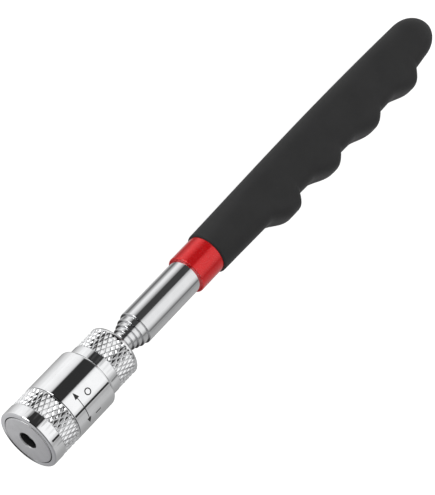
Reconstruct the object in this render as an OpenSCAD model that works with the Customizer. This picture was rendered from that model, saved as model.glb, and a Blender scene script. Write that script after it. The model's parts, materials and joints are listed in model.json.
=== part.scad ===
// Telescopic magnetic pickup tool with a lamp in its head.
// The tool lies along X, with the magnet face at the low X end. Stations are
// measured along the axis from the magnet face, in millimetres.

/* [Overall] */
// Closed length, from the magnet face to the end of the grip
closed_length = 190; // [188:1:200]

/* [Head] */
// Diameter of the front cap and the barrel
head_d = 19; // [18.8:0.1:20]
// Station of the front cap's rear edge
cap_end = 10.4; // [10.2:0.1:10.4]
// Station of the barrel's rear edge
barrel_end = 25.6; // [25:0.1:25.8]
// Diameter of the tail cap
tail_d = 16.2; // [16:0.1:17]
// Station of the tail cap's rear edge
tail_end = 37.2; // [36.4:0.1:37.6]

/* [Magnet and lamp] */
// Diameter of the ring magnet
magnet_d = 15.6; // [14:0.1:15.8]
// Hole through the ring magnet
magnet_hole_d = 5.6; // [5.6:0.1:6]
// Thickness of the ring magnet
magnet_t = 4; // [3:0.1:4]
// Depth of the lamp's tip behind the magnet face
lamp_recess = 1.2; // [0.8:0.1:1.5]

/* [Cells] */
// Diameter of one button cell
cell_d = 11.6; // [11:0.1:11.6]
// Thickness of one button cell
cell_t = 5.4; // [5:0.1:5.4]

/* [Tubes] */
// Outer diameter of the outer tube
outer_tube_d = 10.6; // [10.4:0.1:10.8]
// Difference in diameter from one tube to the next
tube_step = 1.1; // [1.1:0.02:1.14]
// Wall of each tube
tube_wall = 0.35; // [0.34:0.01:0.36]
// Station of the outer tube's mouth
outer_mouth = 45.9; // [45:0.1:46]
// Spacing of the mouths of the inner tubes
mouth_step = 1.45; // [1.3:0.05:1.5]
// Station of the outer tube's rear end
outer_rear = 181; // [181:0.1:182]

/* [Collar] */
// Diameter of the collar
collar_d = 12.3; // [12:0.1:12.8]
// Station of the collar's front edge
collar_start = 68.9; // [60:0.1:70]

/* [Grip] */
// Station where the grip starts
grip_start = 78.3; // [76:0.1:79]
// Height of the grip's straight back above the axis, at its ends
grip_back = 6.75; // [6.6:0.05:7.2]
// Extra height of the back at mid length
grip_crown = 0.78; // [0:0.01:1]
// How much lower than the back the finger side is, at the grip's end
finger_drop = 0.6; // [0:0.05:0.8]
// Height of the finger lobes above the axis
lobe_height = 10.5; // [9.8:0.1:12]
// Number of finger lobes
lobe_count = 4; // [3:1:4]
// Spacing of the finger lobes
lobe_pitch = 20.3; // [18:0.1:20.6]
// Station where the first lobe starts to rise
lobe_start = 98.7; // [92:0.1:99]
// Extra height of the valleys between the last lobes
valley_lift = 0.95; // [0:0.05:1.5]
// Length of the domed end
dome_length = 10; // [8:0.5:10.5]

/* [Hidden] */
$fn = 96;

// Height of the axis over the floor, and its offset that centres the width
axis_z = head_d / 2;
axis_y = (lobe_height - head_d / 2) / 2;

// Radial play of a running fit, and the seam between parts that turn
play = 0.05;
seam = 0.15;

// Front cap
rim_inset = 0.2;
rim_round = 0.45;
rim_gap = 0.25;
web_start = 5;
web_t = 0.8;
web_hole_r = 4.6;
cap_bore_r = 8.25;

// Barrel
spigot_start = 6.1;
spigot_r = cap_bore_r - play;
cell_bore_r = cell_d / 2 + 0.5;
barrel_start = cap_end + seam;
rear_bore_start = 20.4;
rear_bore_r = 7.55;
barrel_round = 0.9;

// Tail cap
tail_spigot_r = rear_bore_r - play;
tail_spigot_start = 20.7;
tail_start = barrel_end + seam;
tail_floor = 30;
rod_hole_r = outer_tube_d / 2 - 2.5 * tube_step + play;
rod_hole_start = 31.6;

// Seals: cord radius, and the station of each
front_cord_r = 0.42;
front_seal = 8.2;
tail_cord_r = 0.32;
tail_seal = 23.8;

// Lamp
lamp_r = 2.5;
lamp_flange_r = 2.9;
lamp_base = 9;
lamp_flange_t = 1;
holder_start = 5.9;
holder_end = 9.9;
contact_end = 10.25;

// Cells
cell_stack_start = cap_end;
cell_lip = 0.35;
sleeve_wall = 0.35;

// Spring behind the cells
spring_wire_r = 0.35;
spring_r = 4.4;
spring_turns = 2.5;

// Tubes
tube_rear_step = 1.5;
tube_rear_gap = 5.5;
tube_front = 31.8;
lip_t = 1;
clip_length = 6;
clip_slot = 1;

// Grip
grip_ring = 32;
mouth_power = 2;
side_power = 3.2;
lobe_steps = 18;
lobe_stations = lobe_count * lobe_steps - 5;
crown_power = 1.15;
grip_end = closed_length;
dome_start = grip_end - dome_length;
grip_edge = 0.6;
collar_tail_end = 84;
collar_tail_r = 5.8;

// Puts a turned part on the tool's axis, with its own Z along +X
module on_axis(station = 0)
    translate([station - closed_length / 2, axis_y, axis_z])
        rotate([0, 90, 0]) children();

// Solid of revolution from [radius, station] points
module turned(points) on_axis() rotate_extrude() polygon(points);

// Ring with a square section
module plain_ring(inner_r, outer_r, from, to)
    turned([[inner_r, from], [outer_r, from], [outer_r, to], [inner_r, to]]);

// Ring with a round section
module seal_ring(ring_r, cord_r, station)
    on_axis(station) rotate_extrude() translate([ring_r, 0]) circle(cord_r);

// Points of a quarter round at a turned part's edge
function quarter_round(centre, r, from_angle, steps = 8) =
    [for (i = [0 : steps])
        let (a = from_angle + 90 * i / steps)
        centre + r * [cos(a), sin(a)]];

// Sizes of telescopic tube number n, counted from the outer tube
function tube_r(n) = outer_tube_d / 2 - (n - 1) * tube_step / 2;
function mouth_of(n) =
    n == 1 ? outer_mouth
    : n == 6 ? tube_front
    : outer_mouth - 0.6 - (n - 1) * mouth_step;
function rear_of(n) =
    n == 1 ? outer_rear
    : outer_rear - tube_rear_gap - (n - 2) * tube_rear_step;

// Telescopic tube: its mouth is rolled in to guide the next tube
module tube(n) {
    r = tube_r(n);
    bore = r - tube_wall;
    lip = n == 6 ? bore : tube_r(n + 1) + play;
    edge = 0.2;
    color("gainsboro")
        turned([[lip, mouth_of(n)], [r - edge, mouth_of(n)],
                [r, mouth_of(n) + edge], [r, rear_of(n)], [bore, rear_of(n)],
                [bore, mouth_of(n) + lip_t + bore - lip],
                [lip, mouth_of(n) + lip_t]]);
}

// Split bronze sleeve at the rear of tube n, which drags inside tube n - 1
module friction_clip(n) {
    outer = tube_r(n - 1) - tube_wall - play / 2;
    color("peru") difference() {
        plain_ring(tube_r(n), outer, rear_of(n) - clip_length, rear_of(n));
        on_axis(rear_of(n) - clip_length - 1)
            translate([0, -clip_slot / 2, 0])
                cube([outer + 1, clip_slot, clip_length + 2]);
    }
}

// Height of a lobe from 0 in a valley to 1 on its crest, at phase 0 to 1.
// The first lobe is the widest, with a quick rise and a long crest.
function lobe_curve(p, first) =
    let (rise = first ? 0.38 : 0.46, top = first ? 0.52 : rise,
         fall = first ? 0.67 : 0.68)
    p < rise ? pow(p / rise, 2) * (3 - 2 * p / rise)
    : p < top ? 1
    : p < fall ? pow(1 - pow((p - top) / (fall - top), 2), 1.5)
    : 0;

// Share of the full section left at a station, in the dome and at the mouth
function end_share(u) =
    u > dome_start
        ? sqrt(max(0, 1 - pow((u - dome_start) / dome_length, 2)))
    : u < grip_start + grip_edge
        ? 1 - (grip_edge - sqrt(max(0, pow(grip_edge, 2)
              - pow(grip_start + grip_edge - u, 2)))) / grip_back
    : 1;

// Height of the crowned back, without the rounding of the ends
function crowned(u) =
    let (share = (u - grip_start) / (grip_end - grip_start))
    grip_back + grip_crown * sin(180 * pow(max(share, 0), crown_power));

// Height of the back, and half the thickness, at a station
function back_height(u) = end_share(u) * crowned(u);

// Height of the finger side at a station
function finger_height(u) =
    let (phase = (u - lobe_start) / lobe_pitch,
         in_lobes = phase > 0 && phase < lobe_count,
         curve = in_lobes ? lobe_curve(phase - floor(phase), phase < 1) : 0,
         lift = in_lobes
             ? valley_lift * sin(180 * pow(phase / lobe_count, 2)) : 0,
         share = max(0, (u - grip_start) / (grip_end - grip_start)),
         valley = crowned(u) - finger_drop * pow(share, 3) + lift)
    end_share(u) * (valley + (lobe_height - valley) * curve);

// Stations of the grip's sections
grip_stations = concat(
    [for (i = [0 : 3]) grip_start + grip_edge * i / 3],
    [for (i = [1 : 4])
        grip_start + grip_edge
            + (lobe_start - grip_start - grip_edge) * i / 5],
    [for (i = [0 : lobe_stations])
        lobe_start + lobe_pitch * i / lobe_steps],
    [for (a = [0 : 12 : 84]) dome_start + dome_length * sin(a)],
    [grip_end]);

// How square the section is: round at the mouth, flat sided under the fingers
// and round again at the tip of the dome
function section_power(u) =
    let (share = min(1, (u - grip_start) / (lobe_start - grip_start)),
         left = max(0, min(1, (grip_end - u) / dome_length)))
    mouth_power + (side_power - mouth_power) * share * share * left;

// One section of the grip, higher on the finger side
function spread(v, power) = sign(v) * pow(abs(v), 2 / power);
function grip_section(u) =
    [for (i = [0 : grip_ring - 1])
        let (a = 360 * i / grip_ring, power = section_power(u),
             height = cos(a) > 0 ? back_height(u) : finger_height(u))
        [u, max(height, 0.3) * spread(cos(a), power),
         max(back_height(u), 0.3) * spread(sin(a), power)]];

// Faces of a solid made of rings of the same number of points
function ring_faces(rings, size) = concat(
    [[for (j = [0 : size - 1]) j]],
    [for (i = [0 : rings - 2], j = [0 : size - 1])
        [i * size + j, (i + 1) * size + j,
         (i + 1) * size + (j + 1) % size, i * size + (j + 1) % size]],
    [[for (j = [size - 1 : -1 : 0]) (rings - 1) * size + j]]);

module grip() {
    points = [for (u = grip_stations, p = grip_section(u)) p];
    color([0.17, 0.17, 0.18]) difference() {
        translate([-closed_length / 2, axis_y, axis_z])
            polyhedron(points, ring_faces(len(grip_stations), grip_ring),
                       convexity = 8);
        turned([[0, grip_start - 1], [collar_tail_r, grip_start - 1],
                [collar_tail_r, collar_tail_end],
                [tube_r(1), collar_tail_end], [tube_r(1), outer_rear + 1],
                [0, outer_rear + 1]]);
    }
}

module collar() {
    edge = 0.3;
    color([0.72, 0.05, 0.07])
        turned([[tube_r(1), collar_start],
                [collar_d / 2 - edge, collar_start],
                [collar_d / 2, collar_start + edge],
                [collar_d / 2, grip_start], [collar_tail_r, grip_start],
                [collar_tail_r, collar_tail_end],
                [tube_r(1), collar_tail_end]]);
}

module outer_tube() tube(1);

module end_plug() {
    inner = tube_r(1) - tube_wall;
    color("dimgray")
        turned([[0, outer_rear - 4], [inner, outer_rear - 4],
                [inner, outer_rear], [tube_r(1), outer_rear],
                [tube_r(1), outer_rear + 1], [0, outer_rear + 1]]);
}

module rod_insert() {
    color("goldenrod")
        plain_ring(1, tube_r(6) - tube_wall, tube_front, tube_front + 5);
}

// Shoulder screw with a slotted pan head
module rod_screw() {
    head_r = 1.9;
    head_start = tail_floor - 1.3;
    color("silver") difference() {
        turned([[0, head_start], [head_r - 0.3, head_start],
                [head_r, head_start + 0.3], [head_r, tail_floor - 0.1],
                [1, tail_floor - 0.1], [1, tube_front + 4.5],
                [0, tube_front + 4.5]]);
        on_axis(head_start - 0.1)
            translate([-0.25, -head_r - 1, 0])
                cube([0.5, 2 * head_r + 2, 0.7]);
    }
}

module tail_cap() {
    r = tail_d / 2;
    edge = 1;
    groove_r = tail_spigot_r - 2 * tail_cord_r + 0.02;
    color("gainsboro")
        turned(concat(
            [[cell_bore_r, tail_spigot_start],
             [tail_spigot_r, tail_spigot_start],
             [tail_spigot_r, tail_seal - 0.5], [groove_r, tail_seal - 0.5],
             [groove_r, tail_seal + 0.5], [tail_spigot_r, tail_seal + 0.5],
             [tail_spigot_r, tail_start], [r - 0.2, tail_start],
             [r, tail_start + 0.2]],
            quarter_round([r - edge, tail_end - edge], edge, 0),
            [[rod_hole_r, tail_end], [rod_hole_r, rod_hole_start],
             [1 + play, rod_hole_start], [1 + play, tail_floor],
             [cell_bore_r, tail_floor]]));
}

module tail_o_ring() {
    color([0.1, 0.1, 0.1])
        seal_ring(tail_spigot_r - tail_cord_r + 0.02, tail_cord_r, tail_seal);
}

// Round-wire compression spring on the tail cap's floor
module battery_spring() {
    sides = 8;
    rings = 60;
    from = cell_stack_start + 3 * cell_t + 0.3 + spring_wire_r;
    to = tail_floor - 0.05 - spring_wire_r;
    points = [for (i = [0 : rings], j = [0 : sides - 1])
        let (a = 360 * spring_turns * i / rings, b = -360 * j / sides,
             r = spring_r + spring_wire_r * cos(b))
        [r * cos(a), r * sin(a),
         from + (to - from) * i / rings + spring_wire_r * sin(b)]];
    color("silver") on_axis() polyhedron(points, ring_faces(rings + 1, sides));
}

module battery_sleeve() {
    outer = cell_bore_r - play;
    color("ivory")
        plain_ring(outer - sleeve_wall, outer, cell_stack_start,
                   cell_stack_start + 3 * cell_t);
}

// Button cell number n, counted from the front, with its raised front cap
module button_cell(n) {
    r = cell_d / 2;
    from = cell_stack_start + (n - 1) * cell_t;
    color("lightsteelblue")
        turned([[0, from], [r - 1, from], [r - 1, from + cell_lip],
                [r - 0.3, from + cell_lip], [r, from + cell_lip + 0.3],
                [r, from + cell_t - 0.3], [r - 0.3, from + cell_t],
                [0, from + cell_t]]);
}

module barrel() {
    r = head_d / 2;
    groove_r = spigot_r - 2 * front_cord_r + 0.02;
    color("gainsboro")
        turned(concat(
               [[cell_bore_r, spigot_start], [spigot_r, spigot_start],
                [spigot_r, front_seal - 0.6], [groove_r, front_seal - 0.6],
                [groove_r, front_seal + 0.6], [spigot_r, front_seal + 0.6],
                [spigot_r, barrel_start], [r - 0.2, barrel_start],
                [r, barrel_start + 0.2]],
               quarter_round([r - barrel_round, barrel_end - barrel_round],
                             barrel_round, 0),
               [[rear_bore_r, barrel_end], [rear_bore_r, rear_bore_start],
                [cell_bore_r, rear_bore_start]]));
}

module front_o_ring() {
    color([0.1, 0.1, 0.1])
        seal_ring(spigot_r - front_cord_r + 0.02, front_cord_r, front_seal);
}

// Round lamp with a domed tip and a flange at its base
module led() {
    color([0.85, 0.88, 0.92]) union() {
        on_axis(lamp_recess + lamp_r) sphere(lamp_r);
        on_axis(lamp_recess + lamp_r)
            cylinder(r = lamp_r, h = lamp_base - lamp_recess - lamp_r);
        on_axis(lamp_base - lamp_flange_t)
            cylinder(r = lamp_flange_r, h = lamp_flange_t);
    }
}

// Black holder: a thin liner through the magnet, and a body in the barrel
module led_holder() {
    liner_r = magnet_hole_d / 2 - play;
    neck_r = web_hole_r - play;
    body_r = cell_bore_r - play;
    liner_start = 0.35;
    color([0.08, 0.08, 0.09])
        turned([[lamp_r + 0.02, liner_start], [liner_r, liner_start],
                [liner_r, web_start + play], [neck_r, web_start + play],
                [neck_r, holder_start], [body_r, holder_start],
                [body_r, holder_end], [lamp_flange_r, holder_end],
                [lamp_flange_r, lamp_base - lamp_flange_t],
                [lamp_r + 0.02, lamp_base - lamp_flange_t]]);
}

// The lamp's two square legs, cut short behind its base
module led_leads() {
    leg = 0.45;
    color("silver") for (side = [-1, 1])
        on_axis(lamp_base)
            translate([-leg / 2, side * 1.27 - leg / 2, 0])
                cube([leg, leg, 0.4]);
}

module led_contact() {
    color("gold")
        turned([[0, lamp_base + 0.4], [2.6, lamp_base + 0.4],
                [2.6, holder_end - 0.1], [1.6, contact_end - 0.2],
                [1.4, contact_end], [0, contact_end]]);
}

module front_cap() {
    r = head_d / 2;
    front_bore = magnet_d / 2 + rim_gap;
    color("gainsboro")
        turned(concat(
            [[front_bore, rim_inset + 0.3], [front_bore + 0.3, rim_inset]],
            quarter_round([r - rim_round, rim_inset + rim_round],
                          rim_round, -90),
            [[r, cap_end - 0.2], [r - 0.2, cap_end], [cap_bore_r, cap_end],
             [cap_bore_r, web_start + web_t], [web_hole_r, web_start + web_t],
             [web_hole_r, web_start], [front_bore, web_start]]));
}

module magnet_ring() {
    r = magnet_d / 2;
    edge = 0.3;
    color([0.72, 0.72, 0.73])
        turned([[magnet_hole_d / 2, 0.1], [magnet_hole_d / 2 + 0.1, 0],
                [r - edge, 0], [r, edge], [r, magnet_t],
                [magnet_hole_d / 2, magnet_t]]);
}

module magnet_yoke() {
    color("slategray")
        plain_ring(magnet_hole_d / 2, magnet_d / 2 + rim_gap,
                   magnet_t, web_start);
}

grip();
collar();
outer_tube();
end_plug();
tube(2);  // tube_2
tube(3);  // tube_3
tube(4);  // tube_4
tube(5);  // tube_5
tube(6);  // tube_6
friction_clip(2);  // friction_clip_2
friction_clip(3);  // friction_clip_3
friction_clip(4);  // friction_clip_4
friction_clip(5);  // friction_clip_5
friction_clip(6);  // friction_clip_6
rod_insert();
rod_screw();
tail_cap();
tail_o_ring();
battery_spring();
battery_sleeve();
button_cell(1);  // button_cell_1
button_cell(2);  // button_cell_2
button_cell(3);  // button_cell_3
barrel();
front_o_ring();
led();
led_holder();
led_leads();
led_contact();
front_cap();
magnet_ring();
magnet_yoke();
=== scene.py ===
"""Looks of the telescopic magnetic pickup tool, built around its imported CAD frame.

The tool lies along X with its magnet face at the low X end. A station is a distance in
millimetres from that face, and an angle about the axis is 0 at the top and grows towards +Y.
"""
import json
import math

import bmesh
import bpy
from mathutils import Matrix, Vector

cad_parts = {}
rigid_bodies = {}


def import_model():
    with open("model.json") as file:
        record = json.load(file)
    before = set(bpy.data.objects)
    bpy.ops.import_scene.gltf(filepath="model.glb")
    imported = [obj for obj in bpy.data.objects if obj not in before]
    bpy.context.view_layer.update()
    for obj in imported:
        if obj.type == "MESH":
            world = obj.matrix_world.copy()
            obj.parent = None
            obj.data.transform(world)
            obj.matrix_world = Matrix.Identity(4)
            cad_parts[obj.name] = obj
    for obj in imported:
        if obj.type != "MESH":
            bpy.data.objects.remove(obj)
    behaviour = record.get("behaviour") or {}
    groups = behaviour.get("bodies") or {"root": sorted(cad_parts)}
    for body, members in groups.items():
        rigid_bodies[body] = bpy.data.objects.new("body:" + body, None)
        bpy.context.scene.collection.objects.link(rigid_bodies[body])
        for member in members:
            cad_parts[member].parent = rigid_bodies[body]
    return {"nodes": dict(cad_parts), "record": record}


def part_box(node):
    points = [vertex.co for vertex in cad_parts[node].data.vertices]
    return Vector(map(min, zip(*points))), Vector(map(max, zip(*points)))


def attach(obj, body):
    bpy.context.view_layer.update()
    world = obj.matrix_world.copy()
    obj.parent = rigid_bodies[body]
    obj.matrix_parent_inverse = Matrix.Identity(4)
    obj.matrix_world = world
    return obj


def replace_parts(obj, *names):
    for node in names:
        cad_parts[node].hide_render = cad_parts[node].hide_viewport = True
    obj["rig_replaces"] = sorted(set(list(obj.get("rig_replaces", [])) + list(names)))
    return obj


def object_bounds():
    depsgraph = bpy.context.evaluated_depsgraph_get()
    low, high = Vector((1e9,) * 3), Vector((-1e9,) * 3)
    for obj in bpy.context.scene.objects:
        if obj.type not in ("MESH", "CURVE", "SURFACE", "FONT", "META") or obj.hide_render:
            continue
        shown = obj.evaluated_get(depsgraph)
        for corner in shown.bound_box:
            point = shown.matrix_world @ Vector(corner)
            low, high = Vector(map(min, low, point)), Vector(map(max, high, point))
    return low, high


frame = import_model()
cad_low, cad_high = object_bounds()

MM = 0.001
SEGMENTS = 144
FRONT_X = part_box("magnet_ring")[0].x
AXIS = (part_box("outer_tube")[0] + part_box("outer_tube")[1]) / 2
BODY_OF = {node: body for body, nodes in frame["record"]["behaviour"]["bodies"].items() for node in nodes}


# ---------------------------------------------------------------- places in the frame

def station(x):
    """Distance along the axis from the magnet face, in millimetres."""
    return (x - FRONT_X) / MM


def start_of(node):
    return station(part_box(node)[0].x)


def end_of(node):
    return station(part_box(node)[1].x)


def radius_of(node):
    low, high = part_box(node)
    return (high.z - low.z) / 2 / MM


def on_axis(u, r, angle):
    """The point at station u, radius r and an angle in radians."""
    return Vector((FRONT_X + u * MM, AXIS.y + r * MM * math.sin(angle), AXIS.z + r * MM * math.cos(angle)))


# ---------------------------------------------------------------- mesh tools

def new_object(name, points, faces, material):
    mesh = bpy.data.meshes.new(name)
    mesh.from_pydata([tuple(p) for p in points], [], faces)
    mesh.validate()
    mesh.materials.append(material)
    obj = bpy.data.objects.new(name, mesh)
    bpy.context.scene.collection.objects.link(obj)
    return obj


def finish_mesh(obj, sharp_degrees=35.0):
    """Outward normals, and smooth shading up to an angle between faces."""
    bm = bmesh.new()
    bm.from_mesh(obj.data)
    bmesh.ops.recalc_face_normals(bm, faces=bm.faces)
    bm.to_mesh(obj.data)
    bm.free()
    obj.data.shade_smooth()
    obj.data.set_sharp_from_angle(angle=math.radians(sharp_degrees))


def add_value(obj, name, values):
    """Stores one number a point, which a material reads through an Attribute node."""
    attribute = obj.data.attributes.new(name, "FLOAT", "POINT")
    attribute.data.foreach_set("value", values)


def skin(name, rings, material, loop=False, split=None, sharp_degrees=35.0):
    """A closed solid over rings of the same number of points.

    Without loop, a centre point closes each end.
    """
    count = len(rings[0])
    points = [p for ring in rings for p in ring]
    faces = []
    spans = len(rings) if loop else len(rings) - 1
    for i in range(spans):
        a, b = i * count, (i + 1) % len(rings) * count
        for j in range(count):
            k = (j + 1) % count
            way = split(i, j) if split else 0
            if way > 0:
                faces += [(a + j, b + j, b + k), (a + j, b + k, a + k)]
            elif way < 0:
                faces += [(a + j, b + j, a + k), (b + j, b + k, a + k)]
            else:
                faces.append((a + j, b + j, b + k, a + k))
    if not loop:
        for ring_start, ring in ((0, rings[0]), ((len(rings) - 1) * count, rings[-1])):
            centre = len(points)
            points.append(sum(ring, Vector()) / count)
            faces += [(ring_start + j, ring_start + (j + 1) % count, centre) for j in range(count)]
    obj = new_object(name, points, faces, material)
    finish_mesh(obj, sharp_degrees)
    return obj


def rounded(corners, steps=5, guard=0.04):
    """An outline of (station, radius, corner round), with an arc at each rounded corner.

    Guard points beside each arc keep the straight stretches truly straight in smooth shading.
    Returns (station, radius, edge) rows, where edge is 1 on an arc.
    """
    rows = []
    size = len(corners)
    for i, (u, r, corner) in enumerate(corners):
        here = Vector((u, r))
        back = Vector(corners[i - 1][:2]) - here
        ahead = Vector(corners[(i + 1) % size][:2]) - here
        if corner <= 0 or back.length < 1e-6 or ahead.length < 1e-6:
            rows.append((u, r, 0.0))
            continue
        back_way, ahead_way = back.normalized(), ahead.normalized()
        half = back_way.angle(ahead_way) / 2
        reach = corner / math.tan(half)
        centre = here + (back_way + ahead_way).normalized() * corner / math.sin(half)
        start, end = here + back_way * reach, here + ahead_way * reach
        turn = (start - centre).angle_signed(end - centre)
        rows.append((*(start + back_way * min(guard, 0.2 * back.length)), 0.2))
        arm = start - centre
        for k in range(steps + 1):
            angle = -turn * k / steps
            spoke = Vector((arm.x * math.cos(angle) - arm.y * math.sin(angle),
                            arm.x * math.sin(angle) + arm.y * math.cos(angle)))
            rows.append((*(centre + spoke), 1.0))
        rows.append((*(end + ahead_way * min(guard, 0.2 * ahead.length)), 0.2))
    return rows


def circle_ring(u, r, count=SEGMENTS):
    return [on_axis(u, r, 2 * math.pi * j / count) for j in range(count)]


def lathe(name, corners, material, loop=True, steps=5, count=SEGMENTS):
    """A turned piece from outline corners.

    Its edge attribute marks the rounds, where a finish wears first.
    """
    rows = rounded(corners, steps)
    rings = [circle_ring(u, r, count) for u, r, _ in rows]
    obj = skin(name, rings, material, loop)
    edge = [e for _, _, e in rows for _ in range(count)]
    add_value(obj, "edge", edge + [0.0] * (len(obj.data.vertices) - len(edge)))
    return obj


def knurled(name, corners, band, diamonds, depth, material, loop=True):
    """A turned piece with a diamond knurl cut into its outside between two stations.

    Four points span half a diamond each way, so every pyramid has true flat flanks and a small flat top.
    """
    fine = 4
    count = diamonds * 2 * fine
    first, last = band
    length = last - first
    rows_wanted = round(length / (KNURL_LENGTH / 2))
    rows = rounded(corners)
    outer = max(r for _, r, _ in rows)
    cut = next(i for i, (u, r, _) in enumerate(rows) if r > outer - 1e-4 and u >= first - 1e-4)
    grid = rows_wanted * fine
    knurl_rows = [(first + length * i / grid, i) for i in range(grid + 1)]
    profile = (0.0, 0.12, 0.42, 0.74, 1.0)
    rings, edge, groove, flags = [], [], [], []

    def plain(u, r, e):
        rings.append(circle_ring(u, r, count))
        edge.extend([e] * count)
        groove.extend([0.0] * count)
        flags.append(None)

    def family_distances(i, j):
        """How far the grid point is from the nearest groove of each family, in fine steps."""
        period = 2 * fine
        p = (i + j) % period
        q = (i - j) % period
        return abs(p - fine), abs(q - fine)

    for u, r, e in rows[:cut]:
        plain(u, r, e)
    for u, i in knurl_rows:
        fade = min(1.0, (u - first) / KNURL_FADE, (last - u) / KNURL_FADE)
        ring = []
        for j in range(count):
            level = profile[min(family_distances(i, j))]
            drop = depth * (1 - level) * fade
            ring.append(on_axis(u, outer - drop, 2 * math.pi * j / count))
            groove.append((1 - level) * fade)
            edge.append(0.0)
        rings.append(ring)
        flags.append(i)
    for u, r, e in rows[cut:]:
        plain(u, r, e)

    def split(ring_index, j):
        i = flags[ring_index]
        following = flags[(ring_index + 1) % len(flags)]
        if i is None or following is None:
            return 0
        p = abs(((i + j + 1) % (2 * fine)) - fine)
        q = abs(((i - j + 2 * fine) % (2 * fine)) - fine)
        return -1 if p < q else 1

    obj = skin(name, rings, material, loop, split, sharp_degrees=24.0)
    extra = len(obj.data.vertices) - len(edge)
    add_value(obj, "edge", edge + [0.0] * extra)
    add_value(obj, "groove", groove + [0.0] * extra)
    return obj


def decal(name, cells, r, material):
    """Thin ink on a round face. A cell is four (station, arc in mm) corners, and arc 0 is at the top."""
    ink, sunk = 0.012, 0.02
    points, faces = [], []
    for cell in cells:
        base = len(points)
        points += [on_axis(u, r + ink, s / r) for u, s in cell]
        points += [on_axis(u, r - sunk, s / r) for u, s in cell]
        faces.append(tuple(base + k for k in range(4)))
        faces.append(tuple(base + 7 - k for k in range(4)))
        faces += [(base + k, base + (k + 1) % 4, base + 4 + (k + 1) % 4, base + 4 + k) for k in range(4)]
    obj = new_object(name, points, faces, material)
    bm = bmesh.new()
    bm.from_mesh(obj.data)
    bmesh.ops.remove_doubles(bm, verts=bm.verts, dist=1e-7)
    bm.verts.index_update()
    seen = {}
    for face in bm.faces:
        seen.setdefault(frozenset(v.index for v in face.verts), []).append(face)
    doubled = [f for same in seen.values() if len(same) > 1 for f in same]
    bmesh.ops.delete(bm, geom=doubled, context="FACES")
    bmesh.ops.recalc_face_normals(bm, faces=bm.faces)
    bm.to_mesh(obj.data)
    bm.free()
    return obj


def piece(obj, node, replaces=True):
    """Puts a piece on the body of a CAD node and, when it replaces the node, stands it in for it."""
    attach(obj, BODY_OF[node])
    if replaces:
        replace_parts(obj, node)
    return obj


# ---------------------------------------------------------------- materials

def add_node(tree, kind, **settings):
    """Adds a node. An input given as a socket is linked, and any other value is set."""
    node = tree.nodes.new(kind)
    inputs = settings.pop("inputs", {})
    for key, value in settings.items():
        setattr(node, key, value)
    for key, value in inputs.items():
        if hasattr(value, "links"):
            tree.links.new(value, node.inputs[key])
        else:
            node.inputs[key].default_value = value
    return node


class Nodes:
    """A short way to write a node tree."""

    def __init__(self, name, display=(0.5, 0.5, 0.5, 1)):
        self.material = bpy.data.materials.new(name)
        self.material.use_nodes = True
        self.material.diffuse_color = display
        self.tree = self.material.node_tree
        self.tree.nodes.clear()
        self.output = self.tree.nodes.new("ShaderNodeOutputMaterial")

    def add(self, kind, **settings):
        return add_node(self.tree, kind, **settings)

    def place(self, scale=(1, 1, 1), offset=(0, 0, 0)):
        """Coordinates in millimetres of the piece's own frame, measured from the tool's axis."""
        coordinate = self.add("ShaderNodeTexCoord")
        shift = self.add("ShaderNodeVectorMath", operation="SUBTRACT",
                         inputs={0: coordinate.outputs["Object"], 1: (FRONT_X, AXIS.y, AXIS.z)})
        sized = self.add("ShaderNodeVectorMath", operation="MULTIPLY",
                         inputs={0: shift.outputs[0], 1: tuple(s / MM for s in scale)})
        moved = self.add("ShaderNodeVectorMath", operation="ADD", inputs={0: sized.outputs[0], 1: offset})
        return moved.outputs[0]

    def noise(self, scale, detail=3.0, stretch=(1, 1, 1), roughness=0.5, offset=(0, 0, 0)):
        node = self.add("ShaderNodeTexNoise", inputs={
            "Vector": self.place(stretch, offset), "Scale": scale, "Detail": detail, "Roughness": roughness})
        return node.outputs["Fac"]

    def ramp(self, value, low, high, start=0.0, end=1.0):
        """A value from low to high as the input goes from start to end."""
        node = self.add("ShaderNodeMapRange", inputs={
            "Value": value, "From Min": start, "From Max": end, "To Min": low, "To Max": high})
        return node.outputs["Result"]

    def mix(self, share, first, second):
        node = self.add("ShaderNodeMix", data_type="RGBA", inputs={0: share, 6: first, 7: second})
        return node.outputs[2]

    def math(self, operation, first, second=0.0):
        node = self.add("ShaderNodeMath", operation=operation, inputs={0: first, 1: second})
        return node.outputs[0]

    def value_of(self, attribute):
        return self.add("ShaderNodeAttribute", attribute_name=attribute).outputs["Fac"]

    def bump(self, height, distance_mm, strength=1.0, under=None):
        inputs = {"Height": height, "Distance": distance_mm * MM, "Strength": strength}
        if under is not None:
            inputs["Normal"] = under
        return self.add("ShaderNodeBump", inputs=inputs).outputs["Normal"]

    def shader(self, **inputs):
        named = {key.replace("_", " "): value for key, value in inputs.items()}
        node = self.add("ShaderNodeBsdfPrincipled", inputs=named)
        self.tree.links.new(node.outputs["BSDF"], self.output.inputs["Surface"])
        return self.material


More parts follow.
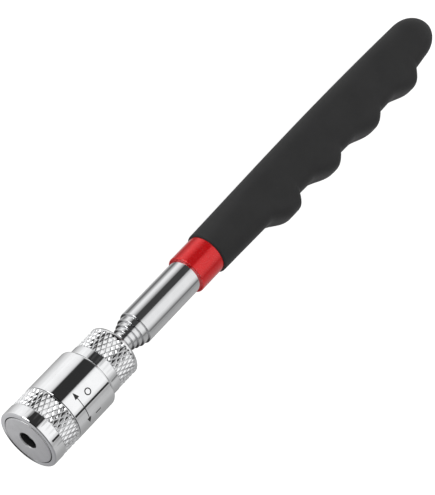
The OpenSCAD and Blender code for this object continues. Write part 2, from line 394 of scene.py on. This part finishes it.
def plated(name, base, rough_low, rough_high, knurl=False, lip_shade=0.0):
    """Bright chrome plate: faint haze, and hairline scratches along and around.

    A knurl has dull dirt in its grooves. A sliding tube has painted shade on its rolled lips: a thin dark
    band that stands in for the shadow lines between the tubes.
    """
    n = Nodes(name, (0.8, 0.8, 0.82, 1))
    haze = n.noise(0.35, 4.0)
    hair_along = n.noise(1.0, 2.0, stretch=(0.25, 9.0, 9.0), roughness=0.6)
    hair_around = n.noise(1.0, 2.0, stretch=(14.0, 0.5, 0.5), roughness=0.6, offset=(31, 7, 3))
    hairs = n.math("MAXIMUM", n.ramp(hair_along, 0, 1, 0.68, 0.8), n.ramp(hair_around, 0, 1, 0.68, 0.8))
    edge = n.value_of("edge")
    roughness = n.math("ADD", n.ramp(haze, rough_low, rough_high, 0.35, 0.7), n.math("MULTIPLY", hairs, 0.05))
    colour = n.mix(n.ramp(haze, 0.0, 1.0, 0.3, 0.75), base, tuple(c * 0.955 for c in base[:3]) + (1,))
    if knurl:
        deep = n.ramp(n.value_of("groove"), 0, 1, 0.8, 1.0)
        grime = n.math("MULTIPLY", deep, n.ramp(haze, 0.2, 0.6, 0.3, 0.7))
        colour = n.mix(grime, colour, (0.22, 0.22, 0.225, 1))
        roughness = n.math("ADD", roughness, n.math("MULTIPLY", grime, 0.25))
    else:
        roughness = n.math("ADD", roughness, n.math("MULTIPLY", edge, 0.03))
        # Painted shade: the rolled lips are darkened to stand in for the shadow lines between the tubes.
        lip_shade_share = n.math("MULTIPLY", edge, lip_shade)
        colour = n.mix(lip_shade_share, colour, (0.06, 0.06, 0.065, 1))
    lay = n.bump(hair_around, 0.0006, 0.4)
    normal = n.bump(hairs, 0.0008, 0.4, under=lay)
    return n.shader(Base_Color=colour, Metallic=1.0, Roughness=roughness, Normal=normal)


def soft_grip():
    """Matte moulded rubber: sand-blasted mould grain, soft mottling, and a polish where fingers rub."""
    n = Nodes("soft_grip", (0.03, 0.03, 0.03, 1))
    mottle = n.noise(0.12, 4.0)
    grain = n.noise(5.5, 3.0, roughness=0.6)
    pores = n.noise(13.0, 2.0, offset=(11, 5, 2))
    rub = n.math("MULTIPLY", n.value_of("crest"), n.ramp(mottle, 0.5, 1.0, 0.35, 0.65))
    colour = n.mix(n.ramp(mottle, 0, 1, 0.3, 0.7), (0.0150, 0.0150, 0.0153, 1), (0.0200, 0.0200, 0.0204, 1))
    colour = n.mix(n.ramp(grain, 0, 0.5, 0.5, 0.8), colour, (0.034, 0.034, 0.035, 1))
    dust = n.ramp(n.noise(1.8, 5.0, offset=(4, 9, 1)), 0, 1, 0.72, 0.8)
    colour = n.mix(n.math("MULTIPLY", dust, 0.35), colour, (0.09, 0.088, 0.085, 1))
    roughness = n.math("SUBTRACT", n.ramp(grain, 0.62, 0.8, 0.3, 0.7), n.math("MULTIPLY", rub, 0.14))
    coarse = n.bump(grain, 0.035, 0.55)
    normal = n.bump(pores, 0.015, 0.5, under=coarse)
    return n.shader(Base_Color=colour, Roughness=roughness, Normal=normal, Specular_IOR_Level=0.42,
                    Sheen_Weight=0.1, Sheen_Roughness=0.45, Sheen_Tint=(0.9, 0.9, 0.92, 1))


def red_lacquer():
    """Deep red lacquer on turned metal, with the lathe's lay under it and bare metal at worn edges."""
    n = Nodes("red_lacquer", (0.6, 0.03, 0.04, 1))
    lay = n.noise(1.0, 2.0, stretch=(22.0, 0.3, 0.3), roughness=0.6)
    cloud = n.noise(0.5, 4.0)
    chips = n.noise(5.0, 5.0, offset=(3, 3, 3))
    worn = n.math("MULTIPLY", n.value_of("edge"), n.ramp(chips, 0, 1, 0.60, 0.68))
    colour = n.mix(n.ramp(cloud, 0, 1, 0.3, 0.7), (0.82, 0.0100, 0.0135, 1), (0.74, 0.0085, 0.0120, 1))
    colour = n.mix(worn, colour, (0.62, 0.55, 0.54, 1))
    roughness = n.math("ADD", n.ramp(lay, 0.14, 0.20, 0.35, 0.65), n.math("MULTIPLY", worn, 0.15))
    normal = n.bump(lay, 0.0005, 0.4)
    return n.shader(Base_Color=colour, Metallic=0.35, Roughness=roughness, Normal=normal, IOR=1.45,
                    Coat_Weight=0.4, Coat_Roughness=0.06)


def ground_magnet():
    """Nickel on a ground ring magnet: satin, with fine rings from the grinding and a few contact marks."""
    n = Nodes("ground_magnet", (0.6, 0.6, 0.6, 1))
    rings = n.add("ShaderNodeTexWave", wave_type="RINGS", rings_direction="X", wave_profile="SIN",
                  inputs={"Vector": n.place(), "Scale": 1.6, "Distortion": 1.2, "Detail": 3.0,
                          "Detail Scale": 1.5}).outputs["Fac"]
    cloud = n.noise(0.35, 4.0)
    marks = n.ramp(n.noise(1.0, 3.0, stretch=(1, 1.2, 6.0), roughness=0.7), 0, 1, 0.66, 0.74)
    colour = n.mix(n.ramp(cloud, 0, 1, 0.3, 0.7), (0.90, 0.90, 0.905, 1), (0.82, 0.82, 0.825, 1))
    colour = n.mix(n.math("MULTIPLY", marks, 0.4), colour, (0.95, 0.95, 0.95, 1))
    roughness = n.math("ADD", n.ramp(rings, 0.40, 0.48), n.math("MULTIPLY", marks, -0.08))
    normal = n.bump(rings, 0.0015, 0.35)
    return n.shader(Base_Color=colour, Metallic=1.0, Roughness=roughness, Normal=normal)


def clear_epoxy():
    """Clear lamp body with a faint haze."""
    n = Nodes("clear_epoxy", (0.8, 0.85, 0.9, 1))
    haze = n.noise(1.2, 3.0)
    return n.shader(Base_Color=(0.85, 0.87, 0.90, 1), Roughness=n.ramp(haze, 0.04, 0.12, 0.3, 0.7), IOR=1.55,
                    Transmission_Weight=0.60, Normal=n.bump(haze, 0.002, 0.3))


def dark_plastic(name, base):
    """Moulded plastic or ink: fine spark grain and small gloss changes."""
    n = Nodes(name, (*base, 1))
    grain = n.noise(9.0, 3.0)
    cloud = n.noise(0.8, 3.0)
    colour = n.mix(n.ramp(cloud, 0, 1, 0.3, 0.7), (*base, 1), (*(c * 1.5 + 0.002 for c in base), 1))
    return n.shader(Base_Color=colour, Roughness=n.ramp(grain, 0.38, 0.58, 0.3, 0.7),
                    Normal=n.bump(grain, 0.006, 0.4))


def small_metal(name, base, rough, lay_mm=0.4):
    """Bare metal of a small part: drawn or turned lay, tarnish clouds and brighter worn spots."""
    n = Nodes(name, (*base, 1))
    lay = n.noise(1.0, 2.0, stretch=(6.0, 1 / lay_mm, 1 / lay_mm), roughness=0.6)
    cloud = n.noise(0.9, 4.0)
    colour = n.mix(n.ramp(cloud, 0, 1, 0.35, 0.7), (*base, 1), (*(c * 0.78 for c in base), 1))
    return n.shader(Base_Color=colour, Metallic=1.0,
                    Roughness=n.math("ADD", n.ramp(lay, rough - 0.06, rough + 0.08, 0.3, 0.7),
                                     n.ramp(cloud, 0.0, 0.08, 0.4, 0.8)),
                    Normal=n.bump(lay, 0.0025, 0.4))


def card_sleeve():
    """Pale pressed card round the cells, with fibres."""
    n = Nodes("card_sleeve", (0.8, 0.76, 0.66, 1))
    fibre = n.noise(2.5, 5.0, stretch=(0.5, 3.0, 3.0), roughness=0.7)
    colour = n.mix(n.ramp(fibre, 0, 1, 0.35, 0.7), (0.74, 0.70, 0.60, 1), (0.60, 0.55, 0.44, 1))
    return n.shader(Base_Color=colour, Roughness=0.8, Normal=n.bump(fibre, 0.01, 0.5))


def seal_rubber():
    """Black nitrile with mould bloom."""
    n = Nodes("seal_rubber", (0.02, 0.02, 0.02, 1))
    bloom = n.noise(2.0, 4.0)
    colour = n.mix(n.ramp(bloom, 0, 1, 0.4, 0.8), (0.012, 0.012, 0.013, 1), (0.035, 0.035, 0.036, 1))
    return n.shader(Base_Color=colour, Roughness=n.ramp(bloom, 0.32, 0.55, 0.3, 0.7),
                    Normal=n.bump(bloom, 0.004, 0.4))


CHROME = (0.90, 0.905, 0.915, 1)
MATERIALS = {
    # The tubes' chrome paints shade on their rolled lips.
    "tube_chrome": plated("tube_chrome", CHROME, 0.05, 0.10, lip_shade=0.3),
    "head_chrome": plated("head_chrome", CHROME, 0.03, 0.07),
    "knurl_chrome": plated("knurl_chrome", CHROME, 0.05, 0.10, knurl=True),
    "grip_foam": soft_grip(),
    "red_metal": red_lacquer(),
    "magnet_nickel": ground_magnet(),
    "led_epoxy": clear_epoxy(),
    "black_plastic": dark_plastic("black_plastic", (0.010, 0.010, 0.011)),
    "ink": dark_plastic("ink", (0.006, 0.006, 0.006)),
    "bronze": small_metal("bronze", (0.62, 0.38, 0.19), 0.30),
    "spring_steel": small_metal("spring_steel", (0.62, 0.63, 0.65), 0.22),
    "cell_steel": small_metal("cell_steel", (0.66, 0.66, 0.66), 0.26),
    "sleeve_paper": card_sleeve(),
    "seal_rubber": seal_rubber(),
}
SLOT_OF = {part["node"]: part["material_slot"] for part in frame["record"]["subparts"]}


# ---------------------------------------------------------------- head

# Length of a diamond along the axis, before it is fitted to whole half-diamonds.
KNURL_LENGTH = 2.8
KNURL_FADE = 0.25
KNURL_DEPTH = 0.32
CAP_KNURL_START = 3.9
CAP_DIAMONDS = 42
TAIL_KNURL_START = 29.0
TAIL_DIAMONDS = 36
CELL_BORE = 6.3
# The plate of the barrel lies this far inside the CAD's surface, so that ink fits in the CAD box.
INK_ROOM = 0.015
INDEX_ANGLE = math.radians(-30.5)
INDEX_WIDTH = 0.62


def front_cap():
    start, end, r = start_of("front_cap"), end_of("front_cap"), radius_of("front_cap")
    bore = radius_of("magnet_ring") + 0.25
    cap_bore = radius_of("front_o_ring") + 0.05
    web_start, web_end, web_hole = start + 4.8, start + 5.6, 4.6
    corners = [(start, bore + 0.02, 0.12), (start, r, 0.45), (end, r, 0.18), (end, cap_bore, 0.05),
               (web_end, cap_bore, 0), (web_end, web_hole, 0), (web_start, web_hole, 0),
               (web_start, bore, 0)]
    cap = knurled("front_cap_knurled", corners, (CAP_KNURL_START, end - 0.25), CAP_DIAMONDS,
                  KNURL_DEPTH, MATERIALS["knurl_chrome"])
    piece(cap, "front_cap")
    arc = INDEX_ANGLE * r
    mark = strip(start + 0.95, CAP_KNURL_START - 0.02, arc, INDEX_WIDTH)
    piece(decal("cap_index_mark", mark, r, MATERIALS["ink"]), "front_cap", replaces=False)


def strip(u_from, u_to, arc, width):
    """Ink line along the axis."""
    parts = 4
    edges = [arc - width / 2 + width * k / parts for k in range(parts + 1)]
    return [[(u_from, a), (u_to, a), (u_to, b), (u_from, b)] for a, b in zip(edges, edges[1:])]


def band(u, half_width, arc_from, arc_to, parts, end_half_width=None):
    """Ink across the axis from one arc to another, with a width that may taper."""
    final = half_width if end_half_width is None else end_half_width
    rows = []
    for k in range(parts + 1):
        share = k / parts
        half = half_width + (final - half_width) * share
        rows.append((arc_from + (arc_to - arc_from) * share, half))
    return [[(u - h0, a0), (u + h0, a0), (u + h1, a1), (u - h1, a1)]
            for (a0, h0), (a1, h1) in zip(rows, rows[1:])]


def ring_mark(u, arc, r_in, r_out, parts=32):
    """Ink circle."""
    cells = []
    for k in range(parts):
        a, b = 2 * math.pi * k / parts, 2 * math.pi * (k + 1) / parts
        cells.append([(u + r_in * math.cos(a), arc + r_in * math.sin(a)),
                      (u + r_out * math.cos(a), arc + r_out * math.sin(a)),
                      (u + r_out * math.cos(b), arc + r_out * math.sin(b)),
                      (u + r_in * math.cos(b), arc + r_in * math.sin(b))])
    return cells


def barrel():
    start, end, r = station(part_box("front_cap")[1].x) + 0.15, end_of("barrel"), radius_of("barrel")
    face = r - INK_ROOM
    spigot = 8.2
    rear_bore = radius_of("tail_o_ring") + 0.02
    rear_bore_start = end - 5.2
    inner_start = start_of("barrel")
    corners = [(inner_start, CELL_BORE, 0.1), (inner_start, spigot, 0.2), (start, spigot, 0),
               (start, face, 0.15), (end, face, 0.9), (end, rear_bore, 0.1),
               (rear_bore_start, rear_bore, 0), (rear_bore_start, CELL_BORE, 0)]
    shell = lathe("barrel_shell", corners, MATERIALS["head_chrome"], steps=8, count=192)
    piece(shell, "barrel")
    arc = face * INDEX_ANGLE
    off_arc, on_arc = face * math.radians(1), face * math.radians(-64)
    arrow_u = start + 4.0
    head, shaft_half, head_half, tip_half = 1.9, 0.11, 0.78, 0.02
    index_line = strip(start + 0.15, end - 0.9, arc, INDEX_WIDTH)
    shaft = band(arrow_u, shaft_half, off_arc - head, on_arc + head, 40)
    arrows = band(arrow_u, head_half, off_arc - head, off_arc, 6, tip_half)
    arrows += band(arrow_u, head_half, on_arc + head, on_arc, 6, tip_half)
    symbol_u = arrow_u + 3.6
    ring = ring_mark(symbol_u, face * math.radians(-15), 0.72, 1.05)
    bar = strip(symbol_u - 1.05, symbol_u + 1.05, face * math.radians(-57), 0.36)
    for name, part in (("barrel_index_mark", index_line), ("arrow_shaft_mark", shaft),
                       ("arrow_head_marks", arrows), ("lamp_off_mark", ring), ("lamp_on_mark", bar)):
        piece(decal(name, part, face, MATERIALS["ink"]), "barrel", replaces=False)


def tail_cap():
    start, end, r = start_of("tail_cap"), end_of("tail_cap"), radius_of("tail_cap")
    neck = end_of("barrel") + 0.15
    spigot = radius_of("tail_o_ring")
    tube_hole = radius_of("tube_6") + 0.05
    web_start, web_end, screw_hole = end - 7.2, end - 5.6, 1.05
    corners = [(start, CELL_BORE, 0.1), (start, spigot, 0.15), (neck, spigot, 0), (neck, r, 0.2),
               (end, r, 1.0), (end, tube_hole, 0.15), (web_end, tube_hole, 0), (web_end, screw_hole, 0),
               (web_start, screw_hole, 0), (web_start, CELL_BORE, 0)]
    cap = knurled("tail_cap_knurled", corners, (TAIL_KNURL_START, end - 1.1), TAIL_DIAMONDS,
                  KNURL_DEPTH, MATERIALS["knurl_chrome"])
    piece(cap, "tail_cap")


def magnet():
    r = radius_of("magnet_ring")
    end = end_of("magnet_ring")
    hole = 2.8
    corners = [(0, hole, 0.22), (0, r, 0.30), (end, r, 0.1), (end, hole, 0.05)]
    piece(lathe("magnet_disc", corners, MATERIALS["magnet_nickel"], steps=4), "magnet_ring")


def lamp():
    r = 2.5
    tip, base = start_of("led"), end_of("led")
    angles = [math.radians(degrees) for degrees in range(6, 91, 6)]
    dome = [(tip + r * (1 - math.cos(a)), r * math.sin(a), 0) for a in angles]
    flange = radius_of("led")
    corners = dome + [(base - 1, r, 0), (base - 1, flange, 0.1), (base, flange, 0.1)]
    piece(lathe("lamp_lens", corners, MATERIALS["led_epoxy"], loop=False, count=96), "led")
    cup_mouth, cup_end = tip + 2.9, tip + 3.5
    stem_start, stem_end, stem, core = cup_end + 0.9, base - 0.4, 0.30, 0.06
    cup = [(cup_mouth, 0.62, 0), (cup_mouth, 0.85, 0.04), (stem_start, 0.85, 0.05), (stem_start, stem, 0),
           (stem_end, stem, 0), (stem_end, core, 0), (cup_end, core, 0), (cup_end, 0.34, 0.04)]
    piece(lathe("lamp_reflector_cup", cup, MATERIALS["spring_steel"], count=64), "led",
          replaces=False)
    die = [(cup_end - 0.32, 0.24, 0), (cup_end - 0.26, 0.31, 0), (cup_end + 0.02, 0.34, 0)]
    piece(lathe("lamp_die", die, PHOSPHOR, loop=False, count=48), "led", replaces=False)


def phosphor():
    """Yellow phosphor gel over the lamp's die."""
    n = Nodes("phosphor", (0.8, 0.7, 0.2, 1))
    cloud = n.noise(6.0, 3.0)
    colour = n.mix(n.ramp(cloud, 0, 1, 0.3, 0.7), (0.72, 0.58, 0.16, 1), (0.80, 0.70, 0.28, 1))
    return n.shader(Base_Color=colour, Roughness=n.ramp(cloud, 0.35, 0.5, 0.3, 0.7))


PHOSPHOR = phosphor()


# ---------------------------------------------------------------- tubes and collar

def tube(node, next_node, count):
    start, end, r = start_of(node), end_of(node), radius_of(node)
    wall = 0.35
    mouth = radius_of(next_node) + 0.05 if next_node else r - wall
    lip = 1.0
    corners = [(start, mouth, 0.06), (start, r, 0.22), (end, r, 0.08), (end, r - wall, 0.05)]
    if next_node:
        corners += [(start + lip + 0.25, r - wall, 0), (start + lip, mouth, 0)]
    shell = lathe(node + "_shell", corners, MATERIALS["tube_chrome"], steps=6, count=count)
    piece(shell, node)


# Radius of the collar's thin sleeve, which goes into the grip.
COLLAR_SLEEVE = 5.8


def collar():
    start, end, r = start_of("collar"), end_of("collar"), radius_of("collar")
    face = start_of("grip")
    inner = radius_of("outer_tube")
    corners = [(start, inner, 0.03), (start, r, 0.3), (face, r, 0.03), (face, COLLAR_SLEEVE, 0),
               (end, COLLAR_SLEEVE, 0.05),
               (end, inner, 0.03)]
    piece(lathe("collar_shell", corners, MATERIALS["red_metal"], steps=6), "collar")


# ---------------------------------------------------------------- grip

GRIP_BACK = 6.75
GRIP_CROWN = 0.78
CROWN_POWER = 1.15
FINGER_DROP = 0.6
LOBE_START = 98.7
LOBE_PITCH = 20.3
LOBE_COUNT = 4
VALLEY_LIFT = 0.95
DOME_LENGTH = 10.0
GRIP_EDGE = 0.6
GRIP_BORE = 5.3
SLEEVE_BORE_END = 84.0
MOUTH_POWER = 2.0
SIDE_POWER = 3.2
GRIP_START, GRIP_END = start_of("grip"), end_of("grip")
LOBE_HEIGHT = (AXIS.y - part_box("grip")[0].y) / MM


def lobe_curve(phase, first):
    """0 in a valley and 1 on a lobe's crest, for a phase of 0 to 1. The first lobe is the widest."""
    rise, top, fall = (0.38, 0.52, 0.67) if first else (0.46, 0.46, 0.68)
    if phase < rise:
        share = phase / rise
        return share * share * (3 - 2 * share)
    if phase < top:
        return 1.0
    if phase < fall:
        return (1 - ((phase - top) / (fall - top)) ** 2) ** 1.5
    return 0.0


def end_share(u):
    """Share of the full section at a station, in the dome and at the mouth's edge."""
    dome_start = GRIP_END - DOME_LENGTH
    if u > dome_start:
        return math.sqrt(max(0.0, 1 - ((u - dome_start) / DOME_LENGTH) ** 2))
    if u < GRIP_START + GRIP_EDGE:
        fall = math.sqrt(max(0.0, GRIP_EDGE ** 2 - (GRIP_START + GRIP_EDGE - u) ** 2))
        return 1 - (GRIP_EDGE - fall) / GRIP_BACK
    return 1.0


def crowned(u):
    """Height of the back without the rounding of the ends."""
    share = max(0.0, (u - GRIP_START) / (GRIP_END - GRIP_START))
    return GRIP_BACK + GRIP_CROWN * math.sin(math.pi * share ** CROWN_POWER)


def back_height(u):
    return end_share(u) * crowned(u)


def finger_height(u):
    """Height of the finger side, and how far up a lobe it is."""
    phase = (u - LOBE_START) / LOBE_PITCH
    curve = lift = 0.0
    if 0 < phase < LOBE_COUNT:
        curve = lobe_curve(phase - math.floor(phase), phase < 1)
        lift = VALLEY_LIFT * math.sin(math.pi * (phase / LOBE_COUNT) ** 2)
    share = max(0.0, (u - GRIP_START) / (GRIP_END - GRIP_START))
    valley = crowned(u) - FINGER_DROP * share ** 3 + lift
    return end_share(u) * (valley + (LOBE_HEIGHT - valley) * curve), curve


def section_power(u):
    """How square the section is: round at the mouth and the tip, flat sided between."""
    share = min(1.0, (u - GRIP_START) / (LOBE_START - GRIP_START))
    left = max(0.0, min(1.0, (GRIP_END - u) / DOME_LENGTH))
    return MOUTH_POWER + (SIDE_POWER - MOUTH_POWER) * share ** 2 * left


def grip_section(u, count):
    """Points of one section, and how much each is on a lobe's crest."""
    power = section_power(u)
    back = back_height(u)
    finger, curve = finger_height(u)
    points, crest = [], []
    for j in range(count):
        angle = 2 * math.pi * j / count
        c, s = math.cos(angle), math.sin(angle)
        side = math.copysign(abs(s) ** (2 / power), s)
        along = math.copysign(abs(c) ** (2 / power), c)
        y = back * along if c > 0 else finger * along
        points.append(Vector((FRONT_X + u * MM, AXIS.y + y * MM, AXIS.z + back * side * MM)))
        crest.append(curve * max(0.0, -c) ** 2)
    return points, crest


def grip():
    count = 160
    bore_end = end_of("end_plug")
    dome_start = GRIP_END - DOME_LENGTH
    body_start = GRIP_START + GRIP_EDGE
    body_steps = 230
    stations = [GRIP_START + GRIP_EDGE * (1 - math.cos(math.radians(a))) for a in range(0, 91, 15)]
    stations += [body_start + (dome_start - body_start) * k / body_steps for k in range(1, body_steps + 1)]
    stations += [dome_start + DOME_LENGTH * math.sin(math.radians(a)) for a in range(4, 89, 4)]
    bore = [(bore_end, 1.0), (bore_end, GRIP_BORE), (SLEEVE_BORE_END, GRIP_BORE),
            (SLEEVE_BORE_END, COLLAR_SLEEVE), (GRIP_START, COLLAR_SLEEVE)]
    rings = [circle_like(u, r, count) for u, r in bore]
    crest = [0.0] * (count * len(bore))
    for u in stations:
        ring, share = grip_section(u, count)
        rings.append(ring)
        crest += share
    skin_mesh = skin("grip_skin", rings, MATERIALS["grip_foam"], sharp_degrees=50.0)
    add_value(skin_mesh, "crest", crest + [0.0] * (len(skin_mesh.data.vertices) - len(crest)))
    piece(skin_mesh, "grip")


def circle_like(u, r, count):
    """A circle whose points start and turn as the grip's sections do."""
    return [Vector((FRONT_X + u * MM, AXIS.y + r * MM * math.cos(a), AXIS.z + r * MM * math.sin(a)))
            for a in (2 * math.pi * j / count for j in range(count))]


# ---------------------------------------------------------------- stage, light and camera

VIEW_TILT = math.radians(30.0)
VIEW_ROLL = math.radians(46.33)
VIEW_DISTANCE = 0.6163
VIEW_STATION, VIEW_SIDE = 82.48, -0.995
# Focal length over the picture's longer side.
LENS_RATIO = 4.40727
SENSOR_MM = 36


def camera():
    """Looks down on the tool from the magnet's end, rolled so that the tool points up and to the right."""
    back = Vector((-math.sin(VIEW_TILT), 0, math.cos(VIEW_TILT)))
    along = Vector((math.cos(VIEW_TILT), 0, math.sin(VIEW_TILT)))
    side = Vector((0, 1, 0))
    right = math.cos(VIEW_ROLL) * along - math.sin(VIEW_ROLL) * side
    up = math.sin(VIEW_ROLL) * along + math.cos(VIEW_ROLL) * side
    target = Vector((FRONT_X + VIEW_STATION * MM, AXIS.y + VIEW_SIDE * MM, AXIS.z))
    data = bpy.data.cameras.new("camera")
    data.sensor_width = SENSOR_MM
    data.lens = SENSOR_MM * LENS_RATIO
    data.clip_start = 0.01
    obj = bpy.data.objects.new("camera", data)
    bpy.context.scene.collection.objects.link(obj)
    axes = Matrix((right, up, back)).transposed().to_4x4()
    obj.matrix_world = Matrix.Translation(target + back * VIEW_DISTANCE) @ axes
    bpy.context.scene.camera = obj


def grey_levels(tree, value, steps, low, high):
    """A colour ramp through (place, grey) steps, read at a value that runs from low to high."""
    share = tree.nodes.new("ShaderNodeMapRange")
    share.inputs["From Min"].default_value = low
    share.inputs["From Max"].default_value = high
    tree.links.new(value, share.inputs["Value"])
    ramp = tree.nodes.new("ShaderNodeValToRGB")
    tree.links.new(share.outputs["Result"], ramp.inputs["Fac"])
    elements = ramp.color_ramp.elements
    while len(elements) < len(steps):
        elements.new(0.5)
    for element, (place, grey) in zip(elements, steps):
        element.position = (place - low) / (high - low)
        element.color = (grey, grey, grey, 1)
    return ramp.outputs["Color"]


# Grey levels that only mirror-like rays see. They were set so that the chrome's stripes look as they do
# in the reference picture from the main view.
# The floor beside the head and beside the tubes, as (sideways place in mm, grey).
# Their darkest steps, nearest the axis, paint a contact shadow under the tool.
HEAD_FLOOR = [(-150, 0.55), (-69, 0.52), (-21, 0.37), (-14, 0.36), (-8, 0.05), (8, 0.05), (14, 0.43),
              (21, 0.60), (30, 0.78), (69, 1.0), (150, 1.0)]
TUBE_FLOOR = [(-150, 0.34), (-16, 0.43), (-9, 0.40), (-5, 0.05), (5, 0.05), (9.7, 0.59), (15.6, 0.32),
              (21, 0.16), (27, 0.16), (35, 0.32), (60, 0.55), (141, 0.81), (150, 0.85)]
# The floor in front of the magnet, on the -Y side and on the +Y side.
FRONT_FLOOR = (0.30, 0.30, 0.31, 1), (0.58, 0.58, 0.59, 1)
# The room by direction round the axis, as (degrees from the top towards +Y, grey).
HEAD_ROOM = [(-180, 0.40), (-84, 0.52), (-80, 0.51), (-72, 0.41), (-59, 0.59), (-52, 0.82), (-45, 1.0),
             (-3, 1.0), (3, 0.90), (7, 0.60), (9.5, 0.030), (53, 0.030), (56, 0.50), (59, 0.72),
             (66, 0.87), (87, 1.0)]
TUBE_ROOM = [(-180, 0.34), (-86, 0.34), (-82, 0.16), (-77, 0.16), (-72, 0.34), (-59, 0.69), (-45, 0.86),
             (-12, 0.86), (0, 0.66), (7, 0.45), (10, 0.055), (49, 0.055), (52, 0.25), (59, 0.44), (70, 0.75),
             (80, 0.91), (90, 0.95)]
# The share of the room that is left, as (X of the direction, share).
LEAN = [(-1.0, 0.08), (-0.62, 0.08), (-0.52, 0.90), (-0.40, 1.0), (-0.34, 0.40), (-0.22, 0.40),
        (-0.15, 1.0), (1.0, 1.0)]
# Glow of the floor to light that bounces off it, and to the camera.
FLOOR_GLOW = 0.20, 0.86
ROOM_STRENGTH = 1.05
KEY_PLACE, KEY_SIZE, KEY_POWER = (-0.2, 0.9, 0.7), (0.6, 0.5), 5.0


def floor():
    """Pale floor. Mirror-like rays see its fitted grey levels instead: painted reflections, darkest by the
    tool, where they paint its contact shadow.
    """
    n = Nodes("floor", (0.9, 0.9, 0.9, 1))
    tree = n.tree
    geometry = n.add("ShaderNodeNewGeometry")
    place = n.add("ShaderNodeSeparateXYZ", inputs={0: geometry.outputs["Position"]})
    x = place.outputs["X"]
    y = n.math("MULTIPLY", n.math("SUBTRACT", place.outputs["Y"], AXIS.y), 1 / MM)
    by_head = grey_levels(tree, y, HEAD_FLOOR, -150, 150)
    by_tubes = grey_levels(tree, y, TUBE_FLOOR, -150, 150)
    neck_x = FRONT_X + end_of("tail_cap") * MM
    source_x = n.math("SUBTRACT", x, n.math("MULTIPLY", n.math("ABSOLUTE", y), 0.5 * MM))
    mirrored = n.mix(n.ramp(source_x, 0.0, 1.0, neck_x, neck_x + 0.008), by_head, by_tubes)
    front = n.mix(n.ramp(y, 0.0, 1.0, -14.0, 14.0), *FRONT_FLOOR)
    mirrored = n.mix(n.ramp(x, 1.0, 0.0, FRONT_X - 0.0012, FRONT_X - 0.0004), mirrored, front)
    seen = n.add("ShaderNodeBsdfDiffuse", inputs={"Color": (0.42, 0.42, 0.42, 1)})
    path = n.add("ShaderNodeLightPath")
    strength = n.ramp(path.outputs["Is Camera Ray"], *FLOOR_GLOW)
    glow = n.add("ShaderNodeEmission", inputs={"Color": (1, 1, 1, 1), "Strength": strength})
    pale = n.add("ShaderNodeAddShader", inputs={0: seen.outputs[0], 1: glow.outputs[0]})
    reflected = n.add("ShaderNodeEmission", inputs={"Color": mirrored})
    mixed = n.add("ShaderNodeMixShader", inputs={0: path.outputs["Is Glossy Ray"], 1: pale.outputs[0],
                                                2: reflected.outputs[0]})
    tree.links.new(mixed.outputs[0], n.output.inputs["Surface"])
    half = 4.0
    z = cad_low.z
    plane = new_object("floor", [(-half, -half, z), (half, -half, z), (half, half, z), (-half, half, z)],
                       [(0, 1, 2, 3)], n.material)


def studio():
    """Studio room with one dark strip over the tool. LEAN darkens it for mirror-like rays only."""
    world = bpy.data.worlds.new("studio")
    bpy.context.scene.world = world
    world.use_nodes = True
    tree = world.node_tree
    tree.nodes.clear()

    def add(kind, **settings):
        return add_node(tree, kind, **settings)

    way = add("ShaderNodeTexCoord").outputs["Generated"]
    parts = add("ShaderNodeSeparateXYZ", inputs={0: way})
    turn = add("ShaderNodeMath", operation="ARCTAN2",
               inputs={0: parts.outputs["Y"], 1: parts.outputs["Z"]})
    degrees = add("ShaderNodeMath", operation="DEGREES", inputs={0: turn.outputs[0]}).outputs[0]
    tube_share = add("ShaderNodeMapRange",
                     inputs={0: parts.outputs["X"], 1: 0.435, 2: 0.450, 3: 0.0, 4: 1.0})
    room = add("ShaderNodeMix", data_type="RGBA", inputs={
        0: tube_share.outputs[0], 6: grey_levels(tree, degrees, HEAD_ROOM, -180, 180),
        7: grey_levels(tree, degrees, TUBE_ROOM, -180, 180)})
    leaning = add("ShaderNodeMix", data_type="RGBA", inputs={
        0: add("ShaderNodeLightPath").outputs["Is Glossy Ray"], 6: (1, 1, 1, 1),
        7: grey_levels(tree, parts.outputs["X"], LEAN, -1, 1)})
    dimmed = add("ShaderNodeVectorMath", operation="MULTIPLY",
                 inputs={0: room.outputs[2], 1: leaning.outputs[2]})
    background = add("ShaderNodeBackground", inputs={0: dimmed.outputs[0], 1: ROOM_STRENGTH})
    output = add("ShaderNodeOutputWorld")
    tree.links.new(background.outputs[0], output.inputs["Surface"])


def soft_light(name, place, size, power):
    """A broad soft light that shines at the tool."""
    data = bpy.data.lights.new(name, "AREA")
    data.shape = "RECTANGLE"
    data.size, data.size_y = size
    data.energy = power
    obj = bpy.data.objects.new(name, data)
    bpy.context.scene.collection.objects.link(obj)
    obj.location = place
    obj.rotation_euler = (Vector((0, 0, AXIS.z)) - Vector(place)).to_track_quat("-Z", "Y").to_euler()


camera()
floor()
studio()
soft_light("key_light", KEY_PLACE, KEY_SIZE, KEY_POWER)
bpy.context.scene.view_settings.view_transform = "Standard"

front_cap()
barrel()
tail_cap()
magnet()
lamp()
collar()
grip()
TUBES = ["outer_tube", "tube_2", "tube_3", "tube_4", "tube_5", "tube_6"]
for index, node in enumerate(TUBES):
    tube(node, TUBES[index + 1] if index < 5 else None, 128)

replaced = {n for o in bpy.data.objects for n in o.get("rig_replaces", [])}
for node, obj in frame["nodes"].items():
    if node not in replaced:
        for slot in obj.material_slots:
            slot.material = MATERIALS[SLOT_OF[node]]
